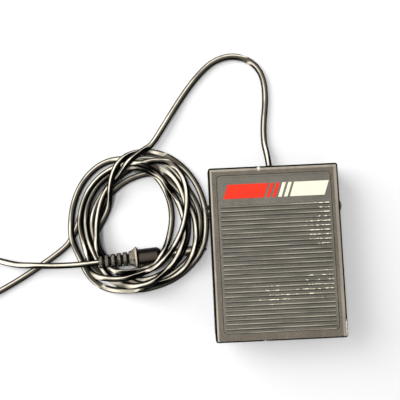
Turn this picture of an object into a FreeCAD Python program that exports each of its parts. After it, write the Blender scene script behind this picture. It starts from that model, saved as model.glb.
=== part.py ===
import FreeCAD, Part
import math
import os
from FreeCAD import Vector

os.makedirs("parts", exist_ok=True)

# A box footswitch for sustain. +X is right, +Y is towards the cord end, +Z is up, all in millimetres.
# The origin is on the floor, under the middle of the pedal.

# Treadle: an inverted steel tray that rocks on two side screws, with a ribbed pad let into its top.
treadle_width = 82.0
treadle_length = 109.0
corner_radius = 1.5
skirt_inner_corner = 0.5
skirt_bottom = 12.5
rim_top = 27.0
edge_radius = 1.4
wall = 1.8
recess_floor = 26.0
underside = 24.2
rim_side = 5.0
rim_rear = 5.0
rim_front = 5.3
pivot_from_rear = 26.9
pivot_z = 18.5
stiffener_x = 14.0
stiffener_width = 1.6
stiffener_depth = 2.4
rest_tilt = 4.0  # degrees that the front stands up at rest, and so the pedal's whole travel

# Pad
groove = 0.4
pad_top = 27.1
pad_corner = 2.6
header_length = 19.6
rib_count = 28
rib_pitch = 2.8
rib_width = 1.15
rib_height = 0.6
rib_end_gap = 1.5
edge_ridge_width = 0.8
edge_ridge_height = 0.3
edge_ridge_inset = 0.3

# Badge on the header: two plain colour bars with slanted ends
badge_thickness = 0.12
badge_height = 9.0
badge_from_rear = 5.6
badge_left = 3.4
badge_red_length = 33.0
badge_white_length = 29.2
badge_slant = 3.2
stripe_length = 2.2
stripe_gap = 1.5

# Base tray and its rubber sole
sole_thickness = 1.6
sole_inset = 2.6
floor_thickness = 2.0
band_top = 9.4
band_edge = 0.8
inner_width = 77.0
inner_length = 102.8
inner_wall = 1.6
inner_top = 20.5
inner_corner = 2.0
ear_width = 14.0
ear_radius = 4.9
blend = 0.2  # how far one solid reaches into the next that it's fused to

# Pivot screws
shoulder_radius = 2.5
head_radius = 4.2
head_height = 1.9
cross_length = 4.4
cross_width = 0.7
cross_depth = 0.9
washer_gap = 0.12
washer_thickness = 0.4
bush_radius = 3.5
running_gap = 0.05
nut_radius = 4.0
nut_thickness = 2.4
thread_radius = 1.9

# Return spring, the cup over its top and the stops
spring_y = -30.0
spring_radius = 4.6
spring_wire = 1.1
spring_turns = 5
spring_bottom = 5.0
spring_top = 25.9
cup_radius = 7.0
cup_wall = 1.1
cup_depth = 2.4
cup_roof = 0.8
spring_seat = 1.4
spigot_radius = 3.2
spigot_height = 3.8
stop_x = 24.0
front_stop_y = -44.0
rear_stop_y = 44.0
stop_radius = 3.2
stop_height = 2.0
stop_gap = 0.3
post_margin = 0.6

# Switch
switch_middle_y = 11.9
switch_body = (6.4, 19.8, 10.2)
switch_bottom = 6.4
switch_hole_pitch = 9.5
switch_hole_rise = 3.0
switch_screw_radius = 0.9
plunger_size = (2.4, 3.0)
plunger_proud = 1.9
plunger_deep = 1.8
plunger_room = 0.15
plunger_slack = 1.9  # depth left under the plunger in its slot
actuator_from_pivot = 20.0
post_length = 5.0
post_radius = 3.0
tip_radius = 2.2
tip_rim = 1.0
tip_dome = 0.9
tip_pin_radius = 1.0
terminal_heights = (8.0, 11.0, 14.0)

# Cord and its way out
cord_diameter = 4.0
exit_z = 6.2
grommet_flange_radius = 3.7
grommet_proud = 1.4
grommet_body_radius = 2.8
cord_start_y = treadle_length / 2 + grommet_proud
jacket_end_y = 31.0
clamp_y = 41.0
clamp_half_width = 8.2
clamp_half_length = 3.0
clamp_top = 9.6
clamp_screw_xs = (-5.4, 5.4)
boss_height = 0.8
clamp_screw_radius = 1.2
wire_diameter = 1.1

# The cord from the grommet to the coil, lying on the floor
lead_route = [
    (0.0, cord_start_y, exit_z),
    (-0.7, 63.5, 5.2),
    (-2.2, 71.0, 2.8),
    (-2.0, 84.0, 2.1),
    (0.4, 100.0, 2.1),
    (-0.3, 116.0, 2.1),
    (-7.0, 126.5, 2.1),
    (-19.5, 131.6, 2.1),
    (-33.5, 128.6, 2.1),
    (-45.5, 118.0, 2.1),
    (-57.0, 103.5, 2.1),
    (-68.0, 87.0, 2.1),
    (-76.5, 75.5, 2.1),
    (-83.2, 68.9, 2.1),
]
# The cord from the coil to the plug: out past the coil, round a bend and back over its own start
tail_route = [
    (-133.5, 10.8, 2.1),
    (-149.0, 0.4, 2.1),
    (-165.5, -9.7, 2.1),
    (-182.0, -18.6, 2.1),
    (-199.5, -26.5, 2.1),
    (-217.5, -28.5, 2.1),
    (-231.0, -18.5, 2.1),
    (-231.5, -1.0, 2.1),
    (-219.0, 9.5, 2.1),
    (-201.5, 8.2, 2.1),
    (-185.5, 1.6, 2.9),
    (-170.5, -2.2, 6.2),
    (-160.0, -2.5, 8.8),
    (-147.5, -3.5, 8.8),
    (-134.0, -3.6, 8.0),
]
coil_centre = (-90.2, 23.6)
coil_outer = 47.2
coil_inner = 22.5
coil_height = 13.4

# Plug: a straight moulded 6.35 mm mono jack, resting on its collar's edge and its tip
plug_end = Vector(-115.1, -2.5, 9.65)
plug_turn = 4.1
plug_dip = 5.6
boot_length = 20.0
boot_radius = 4.6
boot_core_radius = 3.0
boot_rings = 5
collar_length = 6.4
collar_radius = 7.2
handle_length = 14.6
handle_radius = 5.3
sleeve_radius = 3.175
sleeve_length = 21.5
ring_length = 1.2
ring_radius = 3.0
tip_length = 7.9
plug_clearance = 0.6
shaft_clearance = 1.3
handle_bore = 8.0  # how far the cord's end reaches into the grip

pivot_y = treadle_length / 2 - pivot_from_rear
tray_bottom = sole_thickness
tray_floor = tray_bottom + floor_thickness
inner_half = inner_width / 2
pad_rear = treadle_length / 2 - rim_rear - groove
pad_front = -treadle_length / 2 + rim_front + groove
pad_half = treadle_width / 2 - rim_side - groove
X, Y, Z = Vector(1, 0, 0), Vector(0, 1, 0), Vector(0, 0, 1)


def slab(x0, x1, y0, y1, z0, z1, radius=0.0):
    """A box between the given faces, with its upright edges rounded."""
    box = Part.makeBox(x1 - x0, y1 - y0, z1 - z0, Vector(x0, y0, z0))
    if not radius:
        return box
    upright = [e for e in box.Edges if abs(e.tangentAt(e.FirstParameter).z) > 0.9]
    return box.makeFillet(radius, upright)


def centred(width, length, z0, z1, radius=0.0):
    return slab(-width / 2, width / 2, -length / 2, length / 2, z0, z1, radius)


def rod(radius, length, start, direction=Z):
    return Part.makeCylinder(radius, length, start, direction)


def turned(points, base=Vector(0, 0, 0), axis=X):
    """A solid of revolution about axis, from (distance along it, radius) points."""
    profile = [Vector(a, r, 0) for a, r in points]
    profile = [Vector(points[0][0], 0, 0)] + profile + [Vector(points[-1][0], 0, 0)]
    face = Part.Face(Part.makePolygon(profile + profile[:1]))
    solid = face.revolve(Vector(0, 0, 0), X, 360)
    solid.Placement = FreeCAD.Placement(base, FreeCAD.Rotation(X, axis))
    return solid


def top_edges(shape, z):
    return [e for e in shape.Edges if all(abs(v.Z - z) < 1e-6 for v in e.Vertexes)]


def to_rest(shape):
    """Tips a treadle part from level, where it is drawn, to where it stands at rest."""
    tipped = shape.copy()
    tipped.rotate(Vector(0, pivot_y, pivot_z), X, -rest_tilt)
    return tipped


def rested(point):
    """Where a point of the level treadle stands at rest."""
    turn = FreeCAD.Rotation(X, -rest_tilt)
    pivot = Vector(0, pivot_y, pivot_z)
    return pivot + turn.multVec(point - pivot)


def save(name, shape):
    shape.exportStep("parts/" + name + ".step")
    print(name, "solids", len(shape.Solids), "volume %.1f" % shape.Volume, shape.isValid())


def both_sides(shape):
    """The shape and its mirror image across the middle plane, as separate solids."""
    return Part.makeCompound([shape, shape.mirror(Vector(0, 0, 0), X)])


# Treadle


def treadle_shell():
    shell = centred(treadle_width, treadle_length, skirt_bottom, rim_top, corner_radius)
    shell = shell.makeFillet(edge_radius, top_edges(shell, rim_top))
    hollow = centred(
        treadle_width - 2 * wall,
        treadle_length - 2 * wall,
        skirt_bottom - 1,
        underside,
        skirt_inner_corner,
    )
    recess = slab(
        -pad_half - groove,
        pad_half + groove,
        pad_front - groove,
        pad_rear + groove,
        recess_floor,
        rim_top + 1,
        pad_corner + groove,
    )
    shell = shell.cut(hollow).cut(recess)
    shell = shell.fuse([stiffener(x) for x in (-stiffener_x, stiffener_x)])
    foot = Vector(0, pivot_y - actuator_from_pivot, underside - post_length)
    shell = shell.fuse(rod(post_radius, post_length + blend, foot))
    shell = shell.cut(rod(tip_pin_radius, post_length - 1, foot))
    for side in (-1, 1):
        start = Vector(side * (treadle_width / 2 - wall - 1), pivot_y, pivot_z)
        shell = shell.cut(rod(bush_radius, wall + 2, start, X * side))
    return to_rest(shell.removeSplitter())


def stiffener(x):
    """A low rib along the treadle's underside."""
    half = stiffener_width / 2
    return slab(x - half, x + half, -40, 20, underside - stiffener_depth, underside + blend)


def tread_pad():
    plate = slab(-pad_half, pad_half, pad_front, pad_rear, recess_floor, pad_top, pad_corner)
    rib_half = pad_half - rib_end_gap
    ribs = []
    for i in range(rib_count):
        y = pad_rear - header_length - i * rib_pitch
        ribs.append(half_round_rib(y, rib_half))
    ridge_rear = pad_rear - edge_ridge_inset
    ridge_front = ridge_rear - edge_ridge_width
    ridge_half = pad_half - pad_corner
    ridge_top = pad_top + edge_ridge_height
    ridge = slab(-ridge_half, ridge_half, ridge_front, ridge_rear, pad_top - blend, ridge_top)
    return to_rest(plate.fuse(ribs + [ridge]))


def half_round_rib(y, half):
    """One rib across the pad: a low round bar with upright feet."""
    foot = pad_top - blend
    shoulder = pad_top + rib_height - rib_width / 2
    left = Vector(-half, y - rib_width / 2, foot)
    right = Vector(-half, y + rib_width / 2, foot)
    left_up = Vector(-half, y - rib_width / 2, shoulder)
    right_up = Vector(-half, y + rib_width / 2, shoulder)
    crown = Part.Arc(left_up, Vector(-half, y, pad_top + rib_height), right_up).toShape()
    sides = [
        Part.LineSegment(right_up, right).toShape(),
        Part.LineSegment(right, left).toShape(),
        Part.LineSegment(left, left_up).toShape(),
    ]
    return Part.Face(Part.Wire([crown] + sides)).extrude(X * (2 * half))


def slanted_bar(x0, x1):
    """A flat colour bar on the header, with leaning ends."""
    y1 = pad_rear - badge_from_rear
    y0 = y1 - badge_height
    corners = [(x0, y0), (x1, y0), (x1 + badge_slant, y1), (x0 + badge_slant, y1)]
    points = [Vector(x, y, pad_top) for x, y in corners]
    return Part.Face(Part.makePolygon(points + points[:1])).extrude(Z * badge_thickness)


def badge_half(x, length, stripes_last):
    """One colour of the badge: a long bar with two narrow stripes before or after it."""
    step = stripe_length + stripe_gap
    long_bar = length - 2 * step
    start = x if stripes_last else x + 2 * step
    bars = [slanted_bar(start, start + long_bar)]
    first = x + long_bar + stripe_gap if stripes_last else x
    for i in range(2):
        bars.append(slanted_bar(first + i * step, first + i * step + stripe_length))
    return to_rest(Part.makeCompound(bars))


def pivot_bush():
    inner = shoulder_radius + running_gap
    x = treadle_width / 2 - wall
    bush = rod(bush_radius, wall, Vector(x, pivot_y, pivot_z), X)
    return bush.cut(rod(inner, wall + 2, Vector(x - 1, pivot_y, pivot_z), X))


def spring_cup():
    """A ring under the treadle that holds the top of the return spring."""
    low = underside - cup_roof - cup_depth
    cup = rod(cup_radius, cup_depth + cup_roof, Vector(0, spring_y, low))
    cup = cup.cut(rod(cup_radius - cup_wall, cup_depth, Vector(0, spring_y, low)))
    return to_rest(cup)


def actuator_tip():
    """The round nylon button under the treadle's post that presses the switch."""
    y = pivot_y - actuator_from_pivot
    top = underside - post_length
    low = top - tip_rim
    button = rod(tip_radius, tip_rim, Vector(0, y, low))
    ball = Part.makeSphere(tip_radius, Vector(0, y, low))
    dome = ball.common(rod(tip_radius, tip_dome, Vector(0, y, low - tip_dome)))
    pin = rod(tip_pin_radius, 3.0, Vector(0, y, top - blend))
    return to_rest(button.fuse([dome, pin]))


# Base


def base_sole():
    width, length = treadle_width - 2 * sole_inset, treadle_length - 2 * sole_inset
    sole = centred(width, length, 0, sole_thickness, corner_radius)
    return sole.makeChamfer(0.4, top_edges(sole, 0.0))


def base_tray():
    tray = centred(treadle_width, treadle_length, tray_bottom, band_top, corner_radius)
    tray = tray.makeFillet(band_edge, top_edges(tray, band_top))
    inside_width, inside_length = inner_width - 2 * inner_wall, inner_length - 2 * inner_wall
    inside_corner = inner_corner - inner_wall / 2
    wall_block = centred(inner_width, inner_length, tray_bottom, inner_top, inner_corner)
    tray = tray.fuse([wall_block] + [ear(side) for side in (-1, 1)])
    tray = tray.cut(centred(inside_width, inside_length, tray_floor, rim_top, inside_corner))
    posts = [stop_post(x, y) for x in (-stop_x, stop_x) for y in (front_stop_y, rear_stop_y)]
    spring_foot = Vector(0, spring_y, tray_floor - blend)
    seat = rod(cup_radius, spring_seat + blend, spring_foot)
    spigot = rod(spigot_radius, spigot_height + blend, spring_foot)
    tray = tray.fuse(posts + [seat, spigot, switch_bracket()] + clamp_bosses())
    tray = tray.cut(rod(grommet_body_radius, 20, Vector(0, clamp_y + 4, exit_z), Y))
    for side in (-1, 1):
        start = Vector(side * (inner_half - inner_wall - 1), pivot_y, pivot_z)
        tray = tray.cut(rod(thread_radius, inner_wall + 2, start, X * side))
    return tray.removeSplitter()


def ear(side):
    """An upright lug with a round top, inside each side wall, that carries a pivot screw."""
    x0 = side * inner_half
    x1 = side * (inner_half - inner_wall)
    low, high = min(x0, x1), max(x0, x1)
    half = ear_width / 2
    block = slab(low, high, pivot_y - half, pivot_y + half, tray_floor, pivot_z)
    crown = rod(ear_radius, inner_wall, Vector(low, pivot_y, pivot_z), X)
    return block.fuse(crown)


def stop_top(y):
    """Height of a stop's top: the front ones meet the level treadle, the rear ones the resting one."""
    if y < pivot_y:
        return underside - stop_gap
    return rested(Vector(0, y + stop_radius, underside)).z - stop_gap


def stop_post(x, y):
    height = stop_top(y) - stop_height - tray_floor
    return rod(stop_radius + post_margin, height + blend, Vector(x, y, tray_floor - blend))


def stop_pads(y):
    z = stop_top(y) - stop_height
    pad = rod(stop_radius, stop_height, Vector(stop_x, y, z))
    pad = pad.makeFillet(0.6, top_edges(pad, stop_top(y)))
    return both_sides(pad)


def switch_bracket():
    """An upright plate beside the switch and a ledge under it."""
    x = switch_body[0] / 2
    front, rear = switch_middle_y - switch_body[1] / 2, switch_middle_y + switch_body[1] / 2
    low = tray_floor - blend
    upright = slab(x, x + 2.0, front, rear, low, switch_bottom + 8.0)
    ledge = slab(-x, x + 0.5, front + 2, rear - 2, low, switch_bottom)
    bracket = upright.fuse(ledge)
    for hole_y in switch_hole_ys():
        start = Vector(x - 1, hole_y, switch_bottom + switch_hole_rise)
        bracket = bracket.cut(rod(switch_screw_radius, 8, start, X))
    return bracket


def switch_hole_ys():
    return (switch_middle_y - switch_hole_pitch / 2, switch_middle_y + switch_hole_pitch / 2)


def switch_case():
    width, length, height = switch_body
    top = switch_bottom + height
    front, rear = switch_middle_y - length / 2, switch_middle_y + length / 2
    case = slab(-width / 2, width / 2, front, rear, switch_bottom, top)
    case = case.makeChamfer(0.4, case.Edges)
    half_x = plunger_size[0] / 2 + plunger_room
    half_y = plunger_size[1] / 2 + plunger_room
    low = top - plunger_deep - plunger_slack
    case = case.cut(slab(-half_x, half_x, plunger_y() - half_y, plunger_y() + half_y, low, top + 1))
    for hole_y in switch_hole_ys():
        start = Vector(-width, hole_y, switch_bottom + switch_hole_rise)
        case = case.cut(rod(switch_screw_radius + 0.1, 2 * width, start, X))
    return case


def plunger_y():
    """The plunger stands under the button's lowest point at rest."""
    lowest = underside - post_length - tip_rim - tip_dome
    return rested(Vector(0, pivot_y - actuator_from_pivot, lowest)).y


def switch_plunger():
    top = switch_bottom + switch_body[2] + plunger_proud
    low = switch_bottom + switch_body[2] - plunger_deep
    half_x, half_y = plunger_size[0] / 2, plunger_size[1] / 2
    bar = slab(-half_x, half_x, plunger_y() - half_y, plunger_y() + half_y, low, top)
    return bar.makeFillet(0.5, top_edges(bar, top))


def switch_terminals():
    """Three flat tabs out of the case's rear end."""
    y = switch_middle_y + switch_body[1] / 2
    tabs = []
    for z in terminal_heights:
        tab = slab(-1.4, 1.4, y - 1.0, y + 4.2, z - 0.25, z + 0.25)
        tabs.append(tab.cut(rod(0.6, 4, Vector(0, y + 2.8, z - 2))))
    return Part.makeCompound(tabs)


def switch_screws():
    x = switch_body[0] / 2
    z = switch_bottom + switch_hole_rise
    screws = []
    for y in switch_hole_ys():
        shank = rod(switch_screw_radius, 2 * x + 2.6, Vector(-x - 0.1, y, z), X)
        head = turned([(-1.2, 1.1), (-0.9, 1.8), (-0.1, 1.9)], Vector(-x, y, z))
        screws.append(shank.fuse(head))
    return Part.makeCompound(screws)


def pivot_screw():
    """A domed shoulder screw with a cross recess, from outside the skirt into the ear's nut."""
    face = treadle_width / 2 + washer_gap + washer_thickness
    head = turned(
        [
            (0.0, head_radius),
            (0.5, head_radius),
            (1.1, head_radius - 0.5),
            (1.6, head_radius - 1.4),
            (head_height, head_radius - 2.8),
        ],
        Vector(face, pivot_y, pivot_z),
    )
    shoulder = rod(shoulder_radius, face - inner_half, Vector(inner_half, pivot_y, pivot_z), X)
    thread_end = inner_half - inner_wall - nut_thickness - 0.8
    thread = rod(thread_radius, inner_half - thread_end, Vector(thread_end, pivot_y, pivot_z), X)
    screw = head.fuse([shoulder, thread])
    low, top = face + head_height - cross_depth, face + head_height + 1
    for y, z in ((cross_width / 2, cross_length / 2), (cross_length / 2, cross_width / 2)):
        screw = screw.cut(slab(low, top, pivot_y - y, pivot_y + y, pivot_z - z, pivot_z + z))
    return screw


def pivot_washer():
    start = Vector(treadle_width / 2 + washer_gap, pivot_y, pivot_z)
    washer = rod(head_radius + 0.3, washer_thickness, start, X)
    return washer.cut(rod(shoulder_radius, 3, start - X, X))


def pivot_nut():
    x = inner_half - inner_wall - nut_thickness
    corners = []
    for i in range(6):
        angle = math.radians(60 * i)
        y = pivot_y + nut_radius * math.cos(angle)
        z = pivot_z + nut_radius * math.sin(angle)
        corners.append(Vector(x, y, z))
    nut = Part.Face(Part.makePolygon(corners + corners[:1])).extrude(X * nut_thickness)
    return nut.cut(rod(thread_radius, 6, Vector(x - 1, pivot_y, pivot_z), X))


def return_spring():
    """A helical compression spring of plain round wire."""
    height = spring_top - spring_bottom - spring_wire
    helix = Part.makeHelix(height / spring_turns, height, spring_radius)
    start = Vector(spring_radius, 0, 0)
    section = Part.Wire(Part.makeCircle(spring_wire / 2, start, Y))
    coil = Part.Wire(helix.Edges).makePipeShell([section], True, True)
    coil.translate(Vector(0, spring_y, spring_bottom + spring_wire / 2))
    return coil


# Cord way out


def cable_grommet():
    wall_y = treadle_length / 2
    inside_y = inner_length / 2 - inner_wall
    edge = grommet_flange_radius
    profile = [(0, edge), (0.9, edge), (grommet_proud, edge - 0.6)]
    flange = turned(profile, Vector(0, wall_y, exit_z), Y)
    body = rod(grommet_body_radius, wall_y - inside_y, Vector(0, inside_y, exit_z), Y)
    lip = rod(grommet_body_radius - 0.2, 1.2, Vector(0, inside_y - 1.2, exit_z), Y)
    grommet = flange.fuse([body, lip])
    return grommet.cut(rod(cord_diameter / 2, 30, Vector(0, 40, exit_z), Y))


def cord_inner():
    """The jacketed end of the cord inside the base, from the grommet's mouth past the clamp."""
    return rod(cord_diameter / 2, cord_start_y - jacket_end_y, Vector(0, jacket_end_y, exit_z), Y)


def clamp_bosses():
    low = tray_floor - blend
    return [rod(2.2, boss_height + blend, Vector(x, clamp_y, low)) for x in clamp_screw_xs]


def cord_clamp():
    """A saddle over the cord, standing on two bosses."""
    front, rear = clamp_y - clamp_half_length, clamp_y + clamp_half_length
    low = tray_floor + boss_height
    saddle = slab(-clamp_half_width, clamp_half_width, front, rear, low, clamp_top, 1.2)
    half = cord_diameter / 2
    saddle = saddle.cut(rod(half, 3 * clamp_half_length, Vector(0, front - 1, exit_z), Y))
    saddle = saddle.cut(slab(-half, half, front - 1, rear + 1, tray_floor, exit_z))
    for x in clamp_screw_xs:
        hole = rod(clamp_screw_radius + 0.1, 2 * clamp_top, Vector(x, clamp_y, tray_floor))
        saddle = saddle.cut(hole)
    return saddle


def clamp_screws():
    screws = []
    low = tray_bottom + 0.6
    for x in clamp_screw_xs:
        shank = rod(clamp_screw_radius, clamp_top - low, Vector(x, clamp_y, low))
        head = turned([(0, 2.3), (0.6, 2.2), (1.3, 1.2)], Vector(x, clamp_y, clamp_top), Z)
        screws.append(shank.fuse(head))
    return Part.makeCompound(screws)


def switch_wire(x, terminal_z):
    """One conductor from the end of the jacket to a switch terminal."""
    y = switch_middle_y + switch_body[1] / 2
    route = [
        (x, jacket_end_y, exit_z),
        (x * 1.6, jacket_end_y - 2.6, exit_z + 0.8),
        (x * 1.6, y + 5.6, terminal_z - 0.6),
        (x * 0.9, y + 3.0, terminal_z + 0.1),
    ]
    return tube(route, wire_diameter)


# Free cord


def rounded_path(route, name):
    """Straight runs joined by tangent arcs, each as large as its two runs allow."""
    points = [Vector(*p) for p in route]
    edges = []
    at = points[0]
    radii = []
    for before, here, after in zip(points, points[1:], points[2:]):
        to_next = (after - here).normalize()
        to_last = (before - here).normalize()
        shorter = min((here - before).Length, (after - here).Length)
        half_turn = (math.pi - to_last.getAngle(to_next)) / 2
        cut = 0.45 * shorter
        radius = cut / math.tan(half_turn)
        radii.append(radius)
        start = here + to_last * cut
        end = here + to_next * cut
        towards = (to_last + to_next).normalize()
        middle = here + towards * (radius / math.cos(half_turn) - radius)
        edges.append(Part.LineSegment(at, start).toShape())
        edges.append(Part.Arc(start, middle, end).toShape())
        at = end
    edges.append(Part.LineSegment(at, points[-1]).toShape())
    if name:
        print(name, "radii", [round(r, 1) for r in radii])
    return Part.Wire(edges)


def tube(route, diameter, name=""):
    path = rounded_path(route, name)
    direction = Vector(*route[1]) - Vector(*route[0])
    section = Part.Wire(Part.makeCircle(diameter / 2, Vector(*route[0]), direction))
    solid = path.makePipeShell([section], True, False)
    if name:
        ideal = path.Length * math.pi * diameter**2 / 4
        print(name, "length %.1f" % path.Length, "volume ratio %.4f" % (solid.Volume / ideal))
    return solid


def cord_coil():
    """The coil's outer shape: a flat ring, open above the plug's grip, with a tunnel for its shaft."""
    centre = Vector(coil_centre[0], coil_centre[1], 0.1)
    ring = rod(coil_outer, coil_height, centre).cut(rod(coil_inner, coil_height, centre))
    ring = ring.makeFillet(2.0, top_edges(ring, centre.z + coil_height))
    grip_end = boot_length + collar_length + handle_length + plug_clearance
    bed = turned(
        [
            (-plug_clearance, boot_radius + plug_clearance),
            (boot_length - plug_clearance, boot_radius + plug_clearance),
            (boot_length, collar_radius + plug_clearance),
            (boot_length + collar_length, collar_radius + plug_clearance),
            (boot_length + collar_length + plug_clearance, handle_radius + plug_clearance),
            (grip_end, handle_radius + plug_clearance),
        ]
    )
    raised = bed.copy()
    raised.translate(Vector(0, 0, 7.0))
    tunnel = rod(sleeve_radius + shaft_clearance, 40, Vector(grip_end - 1, 0, 0), X)
    x, y, _ = tail_route[-1]
    side = cord_diameter / 2 + plug_clearance
    cord_bed = slab(x - 12, plug_end.x, y - side, y + side + 1.2, 5.6, 20.0)
    ring = ring.cut([on_plug(bed), on_plug(raised), on_plug(tunnel), cord_bed])
    return max(ring.Solids, key=lambda solid: solid.Volume)


# Plug, drawn along +X from the end of its boot


def on_plug(shape):
    placed = shape.copy()
    spin = FreeCAD.Rotation(Z, plug_turn).multiply(FreeCAD.Rotation(Y, plug_dip))
    placed.Placement = FreeCAD.Placement(plug_end, spin).multiply(placed.Placement)
    return placed


def plug_boot():
    """The slotted strain relief: a core with rings and gaps between them."""
    pitch = boot_length / boot_rings
    profile = []
    for i in range(boot_rings):
        radius = boot_radius - 0.12 * (boot_rings - 1 - i)
        start = i * pitch
        profile.append((start, radius - 0.4))
        profile.append((start + 0.4, radius))
        profile.append((start + pitch - 1.3, radius))
        profile.append((start + pitch - 1.0, boot_core_radius))
        profile.append((start + pitch, boot_core_radius))
    boot = turned(profile)
    boot = boot.cut(rod(cord_diameter / 2, 2 * boot_length, Vector(-1, 0, 0), X))
    spine = slab(0.4, boot_length, -1.1, 1.1, boot_core_radius - 0.5, boot_radius - 0.55)
    keel = spine.mirror(Vector(0, 0, 0), Z)
    return on_plug(boot.fuse([spine, keel]))


def plug_collar():
    start = boot_length
    collar = turned(
        [
            (start, boot_radius),
            (start + 2.2, boot_radius + 0.7),
            (start + 4.0, collar_radius - 0.5),
            (start + 4.6, collar_radius),
            (start + 5.1, collar_radius - 0.1),
            (start + collar_length, handle_radius),
        ]
    )
    return on_plug(collar.cut(rod(cord_diameter / 2, 30, Vector(10, 0, 0), X)))


def plug_handle():
    start = boot_length + collar_length
    handle = turned(
        [
            (start, handle_radius),
            (start + handle_length - 2.6, handle_radius),
            (start + handle_length - 1.0, handle_radius - 0.9),
            (start + handle_length, handle_radius - 1.9),
        ]
    )
    return on_plug(handle.cut(rod(cord_diameter / 2, handle_bore + 1, Vector(start - 1, 0, 0), X)))


def cord_in_plug():
    """The last of the cord, inside the boot and the collar."""
    length = boot_length + collar_length + handle_bore
    return on_plug(rod(cord_diameter / 2, length, Vector(0, 0, 0), X))


def plug_sleeve():
    start = boot_length + collar_length + handle_length
    return on_plug(rod(sleeve_radius, sleeve_length, Vector(start, 0, 0), X))


def plug_insulator():
    start = boot_length + collar_length + handle_length + sleeve_length
    return on_plug(rod(ring_radius, ring_length, Vector(start, 0, 0), X))


def plug_tip():
    start = boot_length + collar_length + handle_length + sleeve_length + ring_length
    tip = turned(
        [
            (start, ring_radius),
            (start + 2.4, 2.1),
            (start + 3.6, 2.1),
            (start + 5.0, 2.9),
            (start + tip_length - 0.8, 1.2),
            (start + tip_length, 0.5),
        ]
    )
    return on_plug(tip)


def cord_lead():
    return tube(lead_route, cord_diameter, "cord_lead")


def cord_tail():
    """From the coil to the boot, ending square to the boot's end."""
    spin = FreeCAD.Rotation(Z, plug_turn).multiply(FreeCAD.Rotation(Y, plug_dip))
    along = spin.multVec(X)
    approach = plug_end - along * 7.0
    route = tail_route + [tuple(approach), tuple(plug_end)]
    return tube(route, cord_diameter, "cord_tail")


PARTS = {
    "treadle_shell": treadle_shell,
    "tread_pad": tread_pad,
    "badge_red": lambda: badge_half(-pad_half + badge_left, badge_red_length, True),
    "badge_white": lambda: badge_half(
        -pad_half + badge_left + badge_red_length + stripe_gap, badge_white_length, False
    ),
    "pivot_bushes": lambda: to_rest(both_sides(pivot_bush())),
    "spring_cup": spring_cup,
    "actuator_tip": actuator_tip,
    "base_sole": base_sole,
    "base_tray": base_tray,
    "front_stop_pads": lambda: stop_pads(front_stop_y),
    "rear_stop_pads": lambda: stop_pads(rear_stop_y),
    "pivot_screws": lambda: both_sides(pivot_screw()),
    "pivot_washers": lambda: both_sides(pivot_washer()),
    "pivot_nuts": lambda: both_sides(pivot_nut()),
    "return_spring": return_spring,
    "switch_case": switch_case,
    "switch_plunger": switch_plunger,
    "switch_terminals": switch_terminals,
    "switch_screws": switch_screws,
    "wire_red": lambda: switch_wire(-0.8, terminal_heights[0]),
    "wire_black": lambda: switch_wire(0.8, terminal_heights[2]),
    "cable_grommet": cable_grommet,
    "cord_inner": cord_inner,
    "cord_clamp": cord_clamp,
    "clamp_screws": clamp_screws,
    "cord_lead": cord_lead,
    "cord_coil": cord_coil,
    "cord_tail": cord_tail,
    "cord_in_plug": cord_in_plug,
    "plug_boot": plug_boot,
    "plug_collar": plug_collar,
    "plug_handle": plug_handle,
    "plug_sleeve": plug_sleeve,
    "plug_insulator": plug_insulator,
    "plug_tip": plug_tip,
}

for node, make in PARTS.items():
    save(node, make())
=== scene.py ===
"""A dusty box footswitch with its coiled cord, seen from above on a white floor."""
import math
import bpy
import numpy as np
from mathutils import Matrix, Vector


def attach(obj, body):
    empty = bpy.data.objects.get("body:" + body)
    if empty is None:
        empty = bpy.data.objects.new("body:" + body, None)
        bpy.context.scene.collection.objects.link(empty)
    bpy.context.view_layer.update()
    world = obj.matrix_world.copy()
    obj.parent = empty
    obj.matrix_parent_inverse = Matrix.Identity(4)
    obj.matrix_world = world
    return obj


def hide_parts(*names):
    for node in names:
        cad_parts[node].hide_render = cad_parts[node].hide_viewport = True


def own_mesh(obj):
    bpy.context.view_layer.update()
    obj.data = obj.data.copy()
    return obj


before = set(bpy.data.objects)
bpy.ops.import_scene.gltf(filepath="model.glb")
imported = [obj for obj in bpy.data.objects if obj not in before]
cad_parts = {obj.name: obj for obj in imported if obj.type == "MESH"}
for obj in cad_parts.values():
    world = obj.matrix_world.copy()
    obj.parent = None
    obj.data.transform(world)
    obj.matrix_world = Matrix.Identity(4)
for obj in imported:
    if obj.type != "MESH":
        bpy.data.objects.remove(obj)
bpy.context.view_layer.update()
MM = 0.001


# Camera, floor and light

camera = bpy.data.objects.new("camera", bpy.data.cameras.new("camera"))
camera.data.lens = 50
camera.data.sensor_width = 36
camera.location = (-0.04677, 0.03536, 0.3753)
camera.rotation_euler = (0, 0, math.radians(-2.7))
bpy.context.scene.collection.objects.link(camera)
bpy.context.scene.camera = camera
bpy.context.scene.view_settings.view_transform = "Standard"


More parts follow.
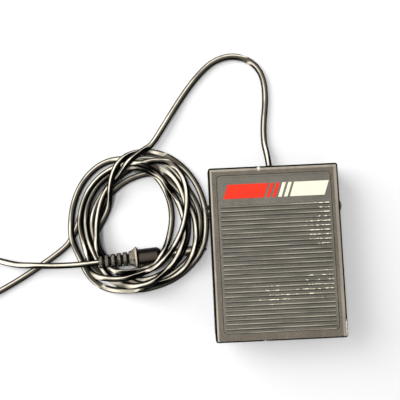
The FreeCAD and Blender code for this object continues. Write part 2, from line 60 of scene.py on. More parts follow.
class Graph:
    """Short calls for the nodes of one material."""

    def __init__(self, name):
        self.material = bpy.data.materials.new(name)
        self.material.use_nodes = True
        self.tree = self.material.node_tree
        self.shader = self.tree.nodes["Principled BSDF"]
        coordinates = self.tree.nodes.new("ShaderNodeTexCoord")
        self.place = coordinates.outputs["Object"]
        self.facing = coordinates.outputs["Normal"]
        self.normal = self.parts(self.facing)

    def put(self, socket, value):
        if isinstance(value, bpy.types.NodeSocket):
            self.tree.links.new(value, socket)
        elif isinstance(value, tuple) and len(value) == 3 and len(socket.default_value) == 4:
            socket.default_value = (*value, 1.0)
        else:
            socket.default_value = value

    def set(self, **values):
        """Values or links for the shader's own sockets, by name with _ for a space."""
        for name, value in values.items():
            self.put(self.shader.inputs[name.replace("_", " ")], value)

    def parts(self, vector):
        node = self.tree.nodes.new("ShaderNodeSeparateXYZ")
        self.put(node.inputs[0], vector)
        return node.outputs

    def dot(self, vector, direction):
        """How far vector points along direction."""
        node = self.tree.nodes.new("ShaderNodeVectorMath")
        node.operation = "DOT_PRODUCT"
        self.put(node.inputs[0], vector)
        node.inputs[1].default_value = direction
        return node.outputs["Value"]

    def math(self, operation, a, b=0.0, c=0.0, clamp=False):
        node = self.tree.nodes.new("ShaderNodeMath")
        node.operation = operation
        node.use_clamp = clamp
        for socket, value in zip(node.inputs, (a, b, c)):
            self.put(socket, value)
        return node.outputs[0]

    def add(self, a, b):
        return self.math("ADD", a, b)

    def times(self, a, b):
        return self.math("MULTIPLY", a, b)

    def step(self, value, low, high, out_low=0.0, out_high=1.0):
        """Smooth change from out_low to out_high as value goes from low to high."""
        node = self.tree.nodes.new("ShaderNodeMapRange")
        node.interpolation_type = "SMOOTHSTEP"
        for socket, number in zip(node.inputs, (value, low, high, out_low, out_high)):
            self.put(socket, number)
        return node.outputs[0]

    def band(self, value, middle, half, soft):
        """1 where value is within half of middle, with soft edges."""
        away = self.math("ABSOLUTE", self.add(value, -middle))
        return self.step(away, half + soft, half - soft)

    def patch(self, middle, size):
        """1 around a place on the top, in mm, falling to 0 at an ellipse of that size."""
        x, y, _ = self.parts(self.place)
        across = self.math("DIVIDE", self.add(x, -middle[0] * MM), size[0] * MM)
        up = self.math("DIVIDE", self.add(y, -middle[1] * MM), size[1] * MM)
        square = self.add(self.times(across, across), self.times(up, up))
        return self.step(square, 1.0, 0.1)

    def noise(self, scale, detail=3.0, stretch=(1, 1, 1), rough=0.5):
        """Cloudy noise, with scale in features per metre."""
        place = self.place
        if stretch != (1, 1, 1):
            mapping = self.tree.nodes.new("ShaderNodeMapping")
            self.put(mapping.inputs["Vector"], place)
            mapping.inputs["Scale"].default_value = stretch
            place = mapping.outputs[0]
        node = self.tree.nodes.new("ShaderNodeTexNoise")
        self.put(node.inputs["Vector"], place)
        node.inputs["Scale"].default_value = scale
        node.inputs["Detail"].default_value = detail
        node.inputs["Roughness"].default_value = rough
        return node.outputs["Fac"]

    def mix(self, amount, a, b):
        """A colour between a and b."""
        node = self.tree.nodes.new("ShaderNodeMix")
        node.data_type = "RGBA"
        self.put(node.inputs["Factor"], amount)
        self.put(node.inputs[6], a)
        self.put(node.inputs[7], b)
        return node.outputs[2]

    def bump(self, height, depth, strength=1.0):
        """Relief of the given depth in metres."""
        node = self.tree.nodes.new("ShaderNodeBump")
        self.put(node.inputs["Height"], height)
        node.inputs["Distance"].default_value = depth
        node.inputs["Strength"].default_value = strength
        self.put(self.shader.inputs["Normal"], node.outputs[0])


def mesh_object(name, vertices, faces):
    mesh = bpy.data.meshes.new(name)
    mesh.from_pydata(vertices, [], faces)
    piece = bpy.data.objects.new(name, mesh)
    bpy.context.scene.collection.objects.link(piece)
    return piece


def make_floor():
    half = 3.0
    corners = [(-half, -half, 0), (half, -half, 0), (half, half, 0), (-half, half, 0)]
    floor = mesh_object("floor", corners, [(0, 1, 2, 3)])
    paint = Graph("floor_white")
    speck = paint.noise(900, 4.0)
    paint.set(Base_Color=paint.mix(speck, (0.83, 0.83, 0.83), (0.86, 0.86, 0.86)))
    paint.set(Roughness=0.9, Specular_IOR_Level=0.1)
    floor.data.materials.append(paint.material)


def area_light(name, place, aim, size, power):
    light = bpy.data.objects.new(name, bpy.data.lights.new(name, "AREA"))
    light.data.shape = "RECTANGLE"
    light.data.size, light.data.size_y = size
    light.data.energy = power
    light.location = place
    light.rotation_euler = (Vector(aim) - Vector(place)).to_track_quat("-Z", "Y").to_euler()
    bpy.context.scene.collection.objects.link(light)


def make_world(zenith, horizon):
    """Soft light from above that falls off towards the horizon."""
    world = bpy.data.worlds.new("studio")
    bpy.context.scene.world = world
    world.use_nodes = True
    tree = world.node_tree
    direction = tree.nodes.new("ShaderNodeTexCoord")
    split = tree.nodes.new("ShaderNodeSeparateXYZ")
    ramp = tree.nodes.new("ShaderNodeMapRange")
    ramp.inputs["From Min"].default_value = 0.15
    ramp.inputs["From Max"].default_value = 0.85
    ramp.inputs["To Min"].default_value = horizon
    ramp.inputs["To Max"].default_value = zenith
    tree.nodes["Background"].inputs["Color"].default_value = (1, 1, 1, 1)
    tree.links.new(direction.outputs["Generated"], split.inputs[0])
    tree.links.new(split.outputs[2], ramp.inputs["Value"])
    tree.links.new(ramp.outputs[0], tree.nodes["Background"].inputs["Strength"])


make_floor()
make_world(zenith=0.50, horizon=0.05)
area_light("key", (-0.25, 0.22, 1.5), (-0.04, 0.03, 0.0), (0.35, 0.35), 9.6)
area_light("side", (-1.25, 0.75, 1.13), (0.05, 0.0, 0.0), (1.3, 1.3), 31.0)


# Cord: lead, seven loose turns, tail

CORD = 4.0 * MM
HALF = CORD / 2
LEAD = [
    (0.0, 55.9, 6.2),
    (-0.7, 63.5, 5.2),
    (-2.2, 71.0, 2.8),
    (-2.0, 84.0, 2.1),
    (0.4, 100.0, 2.1),
    (-0.3, 116.0, 2.1),
    (-7.0, 126.5, 2.1),
    (-19.5, 131.6, 2.1),
    (-33.5, 128.6, 2.1),
    (-45.5, 118.0, 2.1),
    (-57.0, 103.5, 2.1),
    (-68.0, 87.0, 4.0),
]
TAIL = [
    (-149.0, 0.4, 2.1),
    (-165.5, -9.7, 2.1),
    (-182.0, -18.6, 2.1),
    (-199.5, -26.5, 2.1),
    (-217.5, -28.5, 2.1),
    (-231.0, -18.5, 2.1),
    (-231.5, -1.0, 2.1),
    (-219.0, 9.5, 2.1),
    (-201.5, 8.2, 2.1),
    (-185.5, 1.6, 2.9),
    (-170.5, -2.2, 6.2),
    (-160.0, -2.5, 8.8),
    (-147.5, -3.5, 8.8),
    (-134.0, -3.6, 9.6),
]

# The plug, from the cord's end of its boot, in mm along its axis
PLUG_END = Vector((-115.1, -2.5, 9.65))
PLUG_AXIS = Vector((0.99268, 0.07116, -0.09758))
BOOT_LENGTH = 19.0
BOOT_RADIUS = 4.4
GRIP_NOSE = 38.5
GRIP_NOSE_RADIUS = 4.0
GRIP_LENGTH = 41.0
SHAFT_RADIUS = 3.2
TIP_START = 63.0
TIP_RADIUS = 2.7
TIP_TAPER = 0.2
PLUG_LENGTH = 70.8

# How the turns settle on each other: the gap between places on the line, how softly a push
# spreads, and how much of it the upper and the lower strand take
LINE_GAP = 1.0
SETTLING_ROUNDS = 400
SETTLING_WEIGHT = 0.01
SPREAD = 3
UPPER_SHARE = 0.8
LOWER_SHARE = 0.8 * UPPER_SHARE
ROOF_SOFTNESS = 0.6
PILE_TOP = 17.0
COIL_STEP = 6

# Each turn's line: degrees counter-clockwise from +X, radius in mm, how high it lies in the pile
COIL_CENTRE = (-89.46, 24.65)
TURNS = [
    [(76, 53, 6), (81, 45.9, 6), (88, 40.5, 6), (98, 35.5, 6), (108, 31, 5), (118, 29.3, 4),
     (129, 28.2, 3), (150, 26.3, 3), (168, 25.4, 3), (192, 26.7, 3), (210, 30.3, 2), (224, 34.3, 2),
     (240, 37.2, 2), (258, 36, 2), (274, 33.6, 2), (287, 32, 3)],
    [(297, 30.4, 4), (309, 27.8, 4), (328, 24.3, 4), (350, 23.1, 4), (12, 23.6, 4), (28, 25.1, 4),
     (45, 27.5, 4), (60, 30.8, 4), (79, 34, 4), (97, 34.3, 3), (116, 34.5, 2), (150, 34, 2),
     (182, 34.2, 2), (200, 34, 2), (216, 35.6, 2), (230, 39, 2), (245, 43.3, 3), (265, 43.2, 3),
     (282, 42.3, 3)],
    [(298, 39.1, 3), (312, 37.2, 3), (325, 35.3, 3), (340, 33.9, 3), (354, 31.8, 3), (8, 30.2, 3),
     (24, 29.4, 3), (43, 30.2, 4), (61, 32.8, 5), (76, 35.7, 5), (90, 37.1, 4), (110, 37, 3),
     (145, 36.8, 3), (165, 36.8, 3), (187, 38.3, 3), (206, 39.4, 3), (218, 41, 2), (228, 42.8, 1),
     (238, 44, 0), (248, 45.4, 0), (258, 47, 0), (267, 48.1, 0), (280, 47, 0)],
    [(303, 47.4, 1), (329, 48.1, 1), (341, 47.4, 1), (355, 46.1, 2), (18, 45.7, 3), (40, 46.2, 3),
     (61, 46.7, 4), (78, 45.9, 5), (90, 44.4, 6), (100, 41.2, 6), (106, 38, 6), (114, 33.6, 6),
     (123, 28.6, 6), (133, 24.2, 5), (147, 20.8, 3), (164, 20.3, 1), (179, 22.5, 0), (192, 26.6, 0),
     (204, 33.5, 0), (213, 41, 0), (221, 45.8, 1), (230, 45.2, 3), (236, 43.7, 4), (244, 41.3, 5),
     (258, 38.4, 5), (274, 35.7, 5), (287, 34.1, 5)],
    [(299, 32.7, 5), (315, 31, 5), (330, 30.5, 5), (345, 31.1, 5), (356, 32, 5), (11, 34.4, 5),
     (25, 37.7, 5), (36, 41, 5), (46, 43.2, 5), (56, 44, 4), (66, 42.3, 4), (75, 39.2, 3),
     (84, 36.2, 1), (98, 33, 1), (117, 30, 1), (133, 28.8, 1), (149, 28.7, 1), (182, 30.2, 1),
     (202, 30.6, 1), (225, 33, 1), (250, 38, 0), (275, 43.2, 1)],
    [(292, 45, 3), (305, 46, 3), (316, 45.2, 3), (327, 43.8, 3), (338, 41.9, 3), (348, 40, 3),
     (0, 38.3, 2), (10, 36.7, 1), (22, 34.6, 0), (33, 33.6, 0), (54, 33.4, 0), (70, 32.4, 0),
     (86, 28.9, 0), (104, 26.4, 0), (122, 24.7, 0), (150, 24.5, 0), (178, 26.2, 0), (205, 30.5, 0),
     (230, 35.5, 0), (255, 39.8, 0), (280, 40.6, 1)],
    [(303, 39.6, 2), (315, 38.2, 2), (328, 37, 2), (343, 35, 2), (358, 33.8, 2), (12, 33.9, 2),
     (28, 35.2, 2), (41, 36.8, 2), (53, 37.4, 2), (68, 37, 1), (80, 37.6, 0), (90, 39.2, 0),
     (102, 41.6, 1), (117, 44, 2), (135, 44.2, 2), (160, 43.8, 2), (181, 44.4, 2), (200, 45.7, 2),
     (212, 46.3, 2), (220, 48.2, 2), (229, 50.5, 2), (237, 51.8, 2), (246, 51, 2), (255, 48.8, 2),
     (265, 46.4, 2)],
    [(279, 44.4, 1), (298, 43.6, 1), (325, 43.7, 1), (345, 43.1, 1), (5, 42, 1), (20, 39.9, 0),
     (34, 39.4, 0), (48, 40.8, 0), (62, 42.5, 0), (78, 41.5, 0), (94, 39, 0), (112, 37.4, 0),
     (135, 36.9, 0), (155, 36.8, 0), (170, 37.6, 0), (180, 39, 0), (188, 41.4, 0), (194.5, 45.2, 0),
     (199, 51, 0), (201.5, 57.5, 0)],
]


def smooth(values, reach):
    """A moving average over reach places each way."""
    padded = np.concatenate([[values[0]] * reach, values, [values[-1]] * reach])
    return np.convolve(padded, np.ones(2 * reach + 1) / (2 * reach + 1), "valid")


def coil_line():
    """The turns as fine points in mm, one a degree, with their place in the pile."""
    angles, radii, levels = [], [], []
    whole_turns = 0
    for turn in TURNS:
        for angle, radius, level in turn:
            if angles and angle + 360 * whole_turns < angles[-1]:
                whole_turns += 1
            angles.append(angle + 360 * whole_turns)
            radii.append(radius)
            levels.append(level)
    fine = np.arange(angles[0], angles[-1])
    radius = smooth(smooth(np.interp(fine, angles, radii), 5), 4)
    level = smooth(np.interp(fine, angles, levels), 4)
    turned = np.radians(fine)
    x = COIL_CENTRE[0] + radius * np.cos(turned)
    y = COIL_CENTRE[1] + radius * np.sin(turned)
    return np.stack([x, y], 1), level


def evenly(points, extra, gap):
    """Points and their extra values again, a gap apart along the line."""
    along = np.concatenate([[0], np.cumsum(np.linalg.norm(np.diff(points, axis=0), axis=1))])
    places = np.linspace(0, along[-1], int(along[-1] / gap) + 1)
    again = np.stack([np.interp(places, along, column) for column in points.T], 1)
    return again, np.interp(places, along, extra)


def over_plug(line):
    """The height in mm that the plug's grip end and shaft ask of a line that lies over them."""
    low = np.full(len(line), CORD / MM / 2)
    for along in np.arange(GRIP_NOSE, PLUG_LENGTH, 0.7):
        spot = PLUG_END + PLUG_AXIS * along
        thick = TIP_RADIUS - TIP_TAPER * (along - TIP_START)
        if along < TIP_START:
            thick = GRIP_NOSE_RADIUS if along < GRIP_LENGTH else SHAFT_RADIUS
        apart = np.hypot(line[:, 0] - spot.x, line[:, 1] - spot.y)
        reach = thick + CORD / MM / 2
        lift = spot.z + np.sqrt(np.maximum(reach**2 - apart**2, 0))
        low = np.where(apart < reach, np.maximum(low, lift), low)
    return low


def under_tail(line):
    """The height in mm that the cord's last stretch and the plug's boot leave for a line below."""
    high = np.full(len(line), PILE_TOP)
    spots = [(PLUG_END + PLUG_AXIS * along, BOOT_RADIUS) for along in np.arange(0, BOOT_LENGTH)]
    route = [Vector(point) for point in TAIL[-3:]] + [PLUG_END]
    for start, end in zip(route, route[1:]):
        shares = np.arange(0, 1, 0.08)
        spots += [(start + (end - start) * share, CORD / MM / 2) for share in shares]
    for spot, thick in spots:
        apart = np.hypot(line[:, 0] - spot.x, line[:, 1] - spot.y)
        reach = thick + CORD / MM / 2
        room = spot.z - ROOF_SOFTNESS * np.sqrt(np.maximum(reach**2 - apart**2, 0))
        high = np.where(apart < reach, np.minimum(high, room), high)
    return high


def stacked(line, level):
    """Heights in mm at which every part of the line lies on what is under it, in low humps."""
    thick = CORD / MM
    places = np.arange(len(line)) * LINE_GAP
    apart = np.hypot(*(line[:, None] - line[None]).transpose(2, 0, 1))
    along = np.abs(places[:, None] - places[None])
    upper, lower = np.nonzero(
        (level[:, None] > level[None]) & (apart < thick) & (along > 4 * thick)
    )
    rise = np.sqrt(thick**2 - apart[upper, lower] ** 2)
    floor = over_plug(line)
    roof = np.maximum(under_tail(line), floor)
    height = floor.copy()
    for _ in range(SETTLING_ROUNDS):
        push = np.maximum(height[lower] + rise - height[upper], 0)
        up, down = np.zeros(len(line)), np.zeros(len(line))
        np.maximum.at(up, upper, push)
        np.maximum.at(down, lower, push)
        up, down = (smooth(smooth(part, SPREAD), SPREAD) for part in (up, down))
        height = height + UPPER_SHARE * up - LOWER_SHARE * down - SETTLING_WEIGHT
        height = np.clip(height, floor, roof)
    return smooth(smooth(height, 4), 4)


def cord_points():
    fine, level = coil_line()
    fine, level = evenly(fine, level, LINE_GAP)
    height = stacked(fine, level)
    coil = [(x, y, z) for (x, y), z in zip(fine[::COIL_STEP], height[::COIL_STEP])]
    approach = PLUG_END - PLUG_AXIS * 7.0
    inside = PLUG_END + PLUG_AXIS * 3.0
    return LEAD + coil + TAIL + [tuple(approach), tuple(inside)]


def make_cord():
    data = bpy.data.curves.new("cord", "CURVE")
    data.dimensions = "3D"
    data.bevel_depth = HALF
    data.bevel_resolution = 6
    data.resolution_u = 5
    data.use_fill_caps = True
    spline = data.splines.new("NURBS")
    points = cord_points()
    spline.points.add(len(points) - 1)
    for point, place in zip(spline.points, points):
        point.co = (*(MM * value for value in place), 1.0)
    spline.order_u = 3
    spline.use_endpoint_u = True
    piece = bpy.data.objects.new("cord", data)
    bpy.context.scene.collection.objects.link(piece)
    return piece


LIGHT_SIDE = (-0.87, 0.49, 0.0)


def cord_look():
    """Soft black vinyl with painted light: a pale top that is partly dust and partly painted light,
    reaching further round on the side towards the light; black at both edges, as painted shade on the
    far side; a painted highlight line towards the light; paler where it lies higher in the pile.
    """
    look = Graph("cord_vinyl")
    cloud = look.noise(45, 4.0)
    grain = look.noise(2600, 2.0)
    streak = look.noise(75, 4.0)
    z = look.normal[2]
    square = look.math("MULTIPLY_ADD", z, look.times(z, -1), 1.0)
    flat = look.math("SQRT", look.math("MAXIMUM", square, 0.0001))
    towards = look.math("DIVIDE", look.dot(look.facing, LIGHT_SIDE), flat)
    across = look.times(flat, look.step(towards, -0.35, 0.35, -1.0, 1.0))
    _, _, height = look.parts(look.place)
    height_mask = look.step(height, 0.0045, 0.0085)
    # Painted shade: black on the side away from the light, reaching further round where the cord lies
    # higher; the pale top is partly dust, partly painted light.
    shaded = look.step(look.add(across, look.times(height_mask, -0.35)), -0.80, -0.30)
    dust = look.times(shaded, look.step(across, 0.80, 0.58))
    dust = look.times(dust, look.step(cloud, 0.32, 0.68, 0.6, 1.0))
    # Paler where the cord lies higher in the pile.
    paler_when_higher = look.times(height_mask, look.step(cloud, 0.4, 0.6))
    pale = look.mix(paler_when_higher, (0.120, 0.105, 0.082), (0.44, 0.395, 0.31))
    colour = look.mix(dust, (0.001, 0.001, 0.0008), pale)
    # Painted highlight: a pale line on the side towards the light, weaker where the cord lies low.
    line = look.times(look.band(across, 0.30, 0.20, 0.13), look.step(streak, 0.32, 0.58, 0.4, 1.0))
    line = look.times(line, look.step(height, 0.0042, 0.0052, 0.75, 1.0))
    colour = look.mix(line, colour, (0.98, 0.91, 0.75))
    look.set(Base_Color=colour, Roughness=0.45, IOR=1.12)
    look.bump(grain, 0.00003, 0.5)
    return look.material


cord = make_cord()
cord.data.materials.append(cord_look())
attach(cord, "base")
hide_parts("cord_lead", "cord_coil", "cord_tail")


# Return spring, built at one length; the real one shortens as the treadle goes down

SPRING_Y = -30.0
SPRING_RADIUS = 4.6
SPRING_WIRE = 1.1
SPRING_TURNS = 7
SPRING_BOTTOM = 5.0
SPRING_TOP = 25.9


def make_spring():
    """Round wire wound into a helix with closed end turns."""
    data = bpy.data.curves.new("spring_wire", "CURVE")
    data.dimensions = "3D"
    data.bevel_depth = SPRING_WIRE / 2 * MM
    data.bevel_resolution = 3
    data.use_fill_caps = True
    wound = np.linspace(0, SPRING_TURNS, 32 * SPRING_TURNS + 1)
    ends = np.clip(wound, 0, 1) + np.clip(wound - SPRING_TURNS + 1, 0, 1)
    middle = np.clip((wound - 1) / (SPRING_TURNS - 2), 0, 1)
    open_height = SPRING_TOP - SPRING_BOTTOM - 3 * SPRING_WIRE
    height = SPRING_BOTTOM + SPRING_WIRE / 2 + SPRING_WIRE * ends + open_height * middle
    turned = 2 * math.pi * wound
    x, y = SPRING_RADIUS * np.cos(turned), SPRING_Y + SPRING_RADIUS * np.sin(turned)
    spline = data.splines.new("POLY")
    spline.points.add(len(wound) - 1)
    for point, place in zip(spline.points, zip(x, y, height)):
        point.co = (*(MM * value for value in place), 1.0)
    wire = bpy.data.objects.new("spring_wire", data)
    mesh = bpy.data.meshes.new_from_object(wire)
    bpy.data.objects.remove(wire)
    mesh.polygons.foreach_set("use_smooth", [True] * len(mesh.polygons))
    piece = bpy.data.objects.new("return_spring_coil", mesh)
    bpy.context.scene.collection.objects.link(piece)
    return piece


# Materials of the CAD parts

INK = (0.008, 0.007, 0.006)
DUST = (0.125, 0.112, 0.090)


def dusty(name, base=INK, dust=DUST, amount=1.0, low=0.3, high=0.95, cloud_scale=60, gloss=0.35,
          dull=0.6, relief=0.00004, grain_scale=2500, ior=1.45):
    """A dark surface with dust on what faces up."""
    look = Graph(name)
    cloud = look.noise(cloud_scale, 5.0, rough=0.6)
    grain = look.noise(grain_scale, 3.0)
    facing = look.step(look.normal[2], low, high)
    settled = look.times(facing, look.step(cloud, 0.3, 0.75, 0.75 * amount, amount))
    settled = look.times(settled, look.step(grain, 0.25, 0.65, 0.8, 1.0))
    look.set(Base_Color=look.mix(settled, base, dust))
    look.set(Roughness=look.step(settled, 0.0, 1.0, gloss, dull), IOR=ior)
    look.bump(grain, relief, 0.6)
    return look


def metal(name, colour, gloss, scratch_scale=400, dull=(0.02, 0.018, 0.015)):
    """Bright metal with fine scratches and a little tarnish."""
    look = Graph(name)
    tarnish = look.noise(250, 5.0)
    scratch = look.noise(scratch_scale, 3.0, stretch=(1, 12, 12))
    look.set(Base_Color=look.mix(look.step(tarnish, 0.5, 0.75, 0.0, 0.7), colour, dull))
    look.set(Metallic=1.0, Roughness=look.step(scratch, 0.3, 0.7, gloss, gloss + 0.2))
    look.bump(scratch, 0.00002, 0.4)
    return look


def plastic(name, colour, gloss=0.4, spread=0.15, relief=0.00002, scale=1800, ior=1.45):
    """Moulded plastic with a fine grain and slight colour change."""
    look = Graph(name)
    cloud = look.noise(120, 4.0)
    grain = look.noise(scale, 2.0)
    darker = tuple(channel * (1 - 2 * spread) for channel in colour)
    look.set(Base_Color=look.mix(cloud, darker, colour))
    look.set(Roughness=look.step(grain, 0.3, 0.7, gloss, gloss + 0.15), IOR=ior)
    look.bump(grain, relief, 0.4)
    return look


def finish(node, look):
    """Gives a CAD node's every material slot this look."""
    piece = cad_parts[node]
    if not piece.material_slots:
        piece.data.materials.append(look.material)
    for slot in piece.material_slots:
        slot.material = look.material


# The hinge's y and z, the pad's ribs, and the scuffs of the treadle's edge with a painted highlight
# down its front right corner (middle, size), in mm
PIVOT = (27.6, 18.5)
REST_TILT = math.radians(4.0)
FIRST_RIB = 29.5
RIB_PITCH = 2.8
RIB_REACH = 34.1
SCUFFS_AND_HIGHLIGHT = [((-10.3, -54.0), (3.0, 1.6)), ((-9.0, 53.6), (1.6, 2.2)), ((40.2, -48), (0.7, 9))]


def level_place(look):
    """How far along +Y a place on the treadle is, in metres, with the treadle level."""
    along = look.dot(look.place, (0.0, math.cos(REST_TILT), -math.sin(REST_TILT)))
    shift = PIVOT[0] - PIVOT[0] * math.cos(REST_TILT) + PIVOT[1] * math.sin(REST_TILT)
    return look.add(along, shift * MM)


def treadle_paint():
    """Satin black paint under grey-brown dust: bare at the rounded edges, pale beside them from
    rubbing wear and a painted highlight, strongest on the left side towards the light.
    """
    look = Graph("treadle_paint")
    cloud = look.noise(45, 5.0, rough=0.6)
    wipe = look.noise(220, 4.0, stretch=(1, 0.25, 1))
    speckle = look.noise(1300, 3.0)
    grain = look.noise(3200, 3.0)
    x, _, _ = look.parts(look.place)
    y = level_place(look)
    up = look.normal[2]
    dust = look.times(look.step(up, 0.955, 0.985), look.step(cloud, 0.3, 0.75, 0.82, 1.0))
    dust = look.times(dust, look.step(wipe, 0.25, 0.7, 0.86, 1.0))
    dust = look.times(dust, look.step(speckle, 0.3, 0.7, 0.72, 1.1))
    colour = look.mix(dust, (0.002, 0.0018, 0.0015), (0.186, 0.161, 0.128))
    # Pale strips beside the left, right and rear edges: partly rubbing wear, partly a painted
    # highlight, strongest on the left towards the light.
    left = look.times(look.band(x, -0.0394, 0.0005, 0.0003), 0.7)
    right = look.times(look.band(x, 0.0389, 0.0009, 0.0004), 0.35)
    rear = look.times(look.band(y, 0.0527, 0.0007, 0.0004), 0.5)
    rub_and_highlight = look.math("MAXIMUM", left, look.math("MAXIMUM", right, rear))
    rub_and_highlight = look.times(rub_and_highlight, look.step(up, 0.96, 0.985))
    rub_and_highlight = look.times(rub_and_highlight, look.step(wipe, 0.3, 0.65, 0.55, 1.0))
    colour = look.mix(rub_and_highlight, colour, (0.62, 0.55, 0.44))
    # Pale scuff marks; the last patch, down the front right edge, is a painted highlight where the
    # corner catches the light.
    for middle, size in SCUFFS_AND_HIGHLIGHT:
        scuff_and_highlight = look.times(look.patch(middle, size), look.step(up, 0.15, 0.5))
        fleck = look.noise(1300, 2.0)
        spots = look.step(look.add(fleck, look.times(scuff_and_highlight, 0.3)), 0.68, 0.76)
        colour = look.mix(look.times(spots, scuff_and_highlight), colour, (0.80, 0.76, 0.66))
    walls = look.times(look.step(up, 0.5, 0.2), look.step(wipe, 0.35, 0.7, 0.3, 1.0))
    colour = look.mix(walls, colour, (0.018, 0.016, 0.013))
    look.set(Base_Color=colour, Roughness=0.6, IOR=1.15)
    look.bump(look.add(grain, look.times(wipe, 0.5)), 0.00004, 0.5)
    return look


def pad_rubber():
    """Olive-grey dusty rubber: rib crests pale from rubbing and a painted highlight on their side
    towards the light, and chipped; grime and painted shade along their front feet.
    """
    look = Graph("pad_rubber")
    pitches = -1 / (RIB_PITCH * MM)
    down = look.math("MULTIPLY_ADD", level_place(look), pitches, FIRST_RIB / RIB_PITCH)
    phase = look.add(look.math("FRACT", look.add(down, 0.5)), -0.5)
    x, _, _ = look.parts(look.place)
    ribbed = look.times(
        look.step(down, -0.35, -0.2),
        look.step(look.math("ABSOLUTE", x), RIB_REACH * MM + 0.0004, RIB_REACH * MM - 0.0004),
    )
    streak = look.noise(420, 5.0, stretch=(0.09, 1, 1))
    grime_and_shade_noise = look.noise(500, 4.0, stretch=(0.07, 1, 1))
    cloud = look.noise(50, 5.0, rough=0.6)
    grain = look.noise(1400, 3.0)
    # Crest band, leaning to each rib's side towards the light: partly rubbing, partly a painted
    # highlight.
    crest = look.times(look.band(phase, -0.06, 0.10, 0.07), ribbed)
    # Foot band on each rib's front, away from the light: grime and painted shade.
    foot = look.times(look.band(phase, 0.25, 0.11, 0.07), ribbed)
    colour = look.mix(look.step(cloud, 0.3, 0.7), (0.130, 0.117, 0.092), (0.180, 0.161, 0.128))
    colour = look.mix(look.step(grain, 0.3, 0.7, 0.0, 0.5), colour, (0.068, 0.062, 0.047))
    colour = look.mix(look.times(ribbed, 0.19), colour, (0.0, 0.0, 0.0))
    rub_and_highlight = look.times(crest, look.step(streak, 0.34, 0.64, 0.2, 1.0))
    colour = look.mix(rub_and_highlight, colour, (0.42, 0.385, 0.30))
    grime_and_shade = look.times(foot, look.step(grime_and_shade_noise, 0.34, 0.58, 0.25, 1.0))
    colour = look.mix(grime_and_shade, colour, (0.014, 0.012, 0.008))
    sides = look.step(look.normal[2], 0.75, 0.35)
    colour = look.mix(sides, colour, (0.03, 0.027, 0.02))
    chips = look.math("MAXIMUM", look.patch((29, 14), (15, 13)), look.patch((31, 28), (9, 12)))
    chips = look.math("MAXIMUM", chips, look.times(look.patch((25, -20), (17, 12)), 0.65))
    chips = look.math("MAXIMUM", chips, look.times(look.patch((-2, -25), (16, 8)), 0.6))
    fleck = look.noise(1000, 3.0, stretch=(0.5, 1, 1))
    chipped = look.step(look.add(fleck, look.times(chips, 0.19)), 0.66, 0.71)
    chipped = look.times(look.times(chipped, look.step(chips, 0.05, 0.2)), crest)
    colour = look.mix(chipped, colour, (0.95, 0.90, 0.70))
    look.set(Base_Color=colour, Roughness=look.step(grain, 0.3, 0.7, 0.55, 0.75))
    look.bump(look.add(grain, look.times(streak, 0.6)), 0.00006, 0.6)
    return look


BOOT_PITCH = 4.0
# Straight up leaned towards the light: the boot's pale marks sit on its lit side as painted light.
PLUG_TOP_TOWARDS_LIGHT = (-0.29, 0.18, 0.94)
COLLAR_START = (0.0200, 0.0204)
COLLAR_RIM = (0.0065, 0.0071)


def boot_vinyl():
    """Dusty vinyl: black in the slots, lumpy pale dust on the rings and a pale collar rim, all pale
    marks kept to the side turned towards the light, so partly dust and partly painted light.
    """
    look = Graph("plug_boot_vinyl")
    along = look.add(look.dot(look.place, tuple(PLUG_AXIS)), -PLUG_AXIS.dot(PLUG_END) * MM)
    offset = look.tree.nodes.new("ShaderNodeVectorMath")
    offset.operation = "SUBTRACT"
    look.put(offset.inputs[0], look.place)
    offset.inputs[1].default_value = PLUG_END * MM
    away = look.tree.nodes.new("ShaderNodeVectorMath")
    away.operation = "LENGTH"
    look.put(away.inputs[0], offset.outputs[0])
    far = away.outputs["Value"]
    square = look.add(look.times(far, far), look.times(look.times(along, along), -1))
    radius = look.math("SQRT", look.math("MAXIMUM", square, 0))
    cloud = look.noise(420, 4.0, rough=0.6)
    grain = look.noise(1500, 4.0)
    up = look.step(look.dot(look.facing, PLUG_TOP_TOWARDS_LIGHT), 0.25, 0.85)
    phase = look.math("FRACT", look.times(along, 1 / (BOOT_PITCH * MM)))
    collar = look.step(along, *COLLAR_START)
    ring = look.math("MAXIMUM", look.band(phase, 0.32, 0.22, 0.08), collar)
    # Dust on the rings, kept to faces turned towards the light: partly dust, partly painted light.
    dust_and_lit_side = look.times(look.times(ring, up), look.step(cloud, 0.30, 0.60, 0.15, 1.0))
    colour = look.mix(dust_and_lit_side, (0.003, 0.0025, 0.002), (0.17, 0.148, 0.118))
    rim = look.times(look.step(radius, *COLLAR_RIM), 0.9)
    lumps = look.times(look.step(grain, 0.54, 0.66), look.step(cloud, 0.42, 0.58))
    lumps = look.times(lumps, ring)
    # Pale collar rim and lumps, also kept to the lit side: partly a painted highlight.
    pale = look.times(look.math("MAXIMUM", rim, look.times(lumps, 0.7)), up)
    colour = look.mix(pale, colour, (0.66, 0.58, 0.45))
    look.set(Base_Color=colour, Roughness=look.step(grain, 0.3, 0.7, 0.45, 0.7), IOR=1.2)
    look.bump(look.add(grain, cloud), 0.0004, 0.8)
    return look


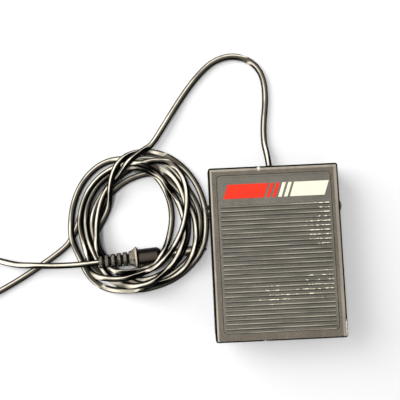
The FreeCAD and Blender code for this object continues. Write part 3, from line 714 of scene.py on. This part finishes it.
LOOKS = {
    "paint": treadle_paint(),
    "rubber": pad_rubber(),
    "red": plastic("badge_red_print", (0.80, 0.040, 0.018), 0.6, 0.05, ior=1.2),
    "white": plastic("badge_white_print", (0.86, 0.82, 0.66), 0.6, 0.04, ior=1.2),
    "base": dusty("base_black", amount=0.5, gloss=0.4),
    "sole": dusty("sole_rubber", amount=0.1, gloss=0.8, dull=0.9),
    "nylon": plastic("nylon", (0.62, 0.60, 0.52)),
    "screw": metal("screw_black_steel", (0.10, 0.097, 0.088), 0.12),
    "zinc": metal("zinc_steel", (0.55, 0.55, 0.52), 0.3),
    "switch": plastic("switch_black", (0.02, 0.02, 0.022)),
    "plunger": plastic("plunger_red", (0.45, 0.05, 0.03)),
    "brass": metal("terminal_brass", (0.70, 0.50, 0.20), 0.25),
    "wire_red": plastic("wire_red_vinyl", (0.50, 0.03, 0.02)),
    "wire_black": plastic("wire_black_vinyl", (0.02, 0.02, 0.02)),
    "jacket": dusty("inner_jacket", amount=0.1),
    "boot": boot_vinyl(),
    "grip": dusty("plug_grip_vinyl", base=(0.004, 0.0035, 0.003), dust=(0.085, 0.07, 0.055),
                  low=0.76, high=1.0, ior=1.2),
    "nickel": metal("plug_nickel", (0.50, 0.45, 0.36), 0.2),
    "insulator": plastic("insulator_black", (0.015, 0.015, 0.015)),
}
FINISHES = {
    "treadle_shell": "paint",
    "tread_pad": "rubber",
    "badge_red": "red",
    "badge_white": "white",
    "pivot_bushes": "nylon",
    "spring_cup": "zinc",
    "actuator_tip": "nylon",
    "base_sole": "sole",
    "base_tray": "base",
    "front_stop_pads": "sole",
    "rear_stop_pads": "sole",
    "pivot_screws": "screw",
    "pivot_washers": "screw",
    "pivot_nuts": "zinc",
    "switch_case": "switch",
    "switch_plunger": "plunger",
    "switch_terminals": "brass",
    "switch_screws": "zinc",
    "wire_red": "wire_red",
    "wire_black": "wire_black",
    "cable_grommet": "base",
    "cord_inner": "jacket",
    "cord_clamp": "base",
    "clamp_screws": "zinc",
    "cord_in_plug": "jacket",
    "plug_boot": "boot",
    "plug_collar": "boot",
    "plug_handle": "grip",
    "plug_sleeve": "nickel",
    "plug_insulator": "insulator",
    "plug_tip": "nickel",
}
for node, look in FINISHES.items():
    finish(node, LOOKS[look])

spring = make_spring()
spring.data.materials.append(LOOKS["zinc"].material)
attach(spring, "base")
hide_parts("return_spring")
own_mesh(spring)
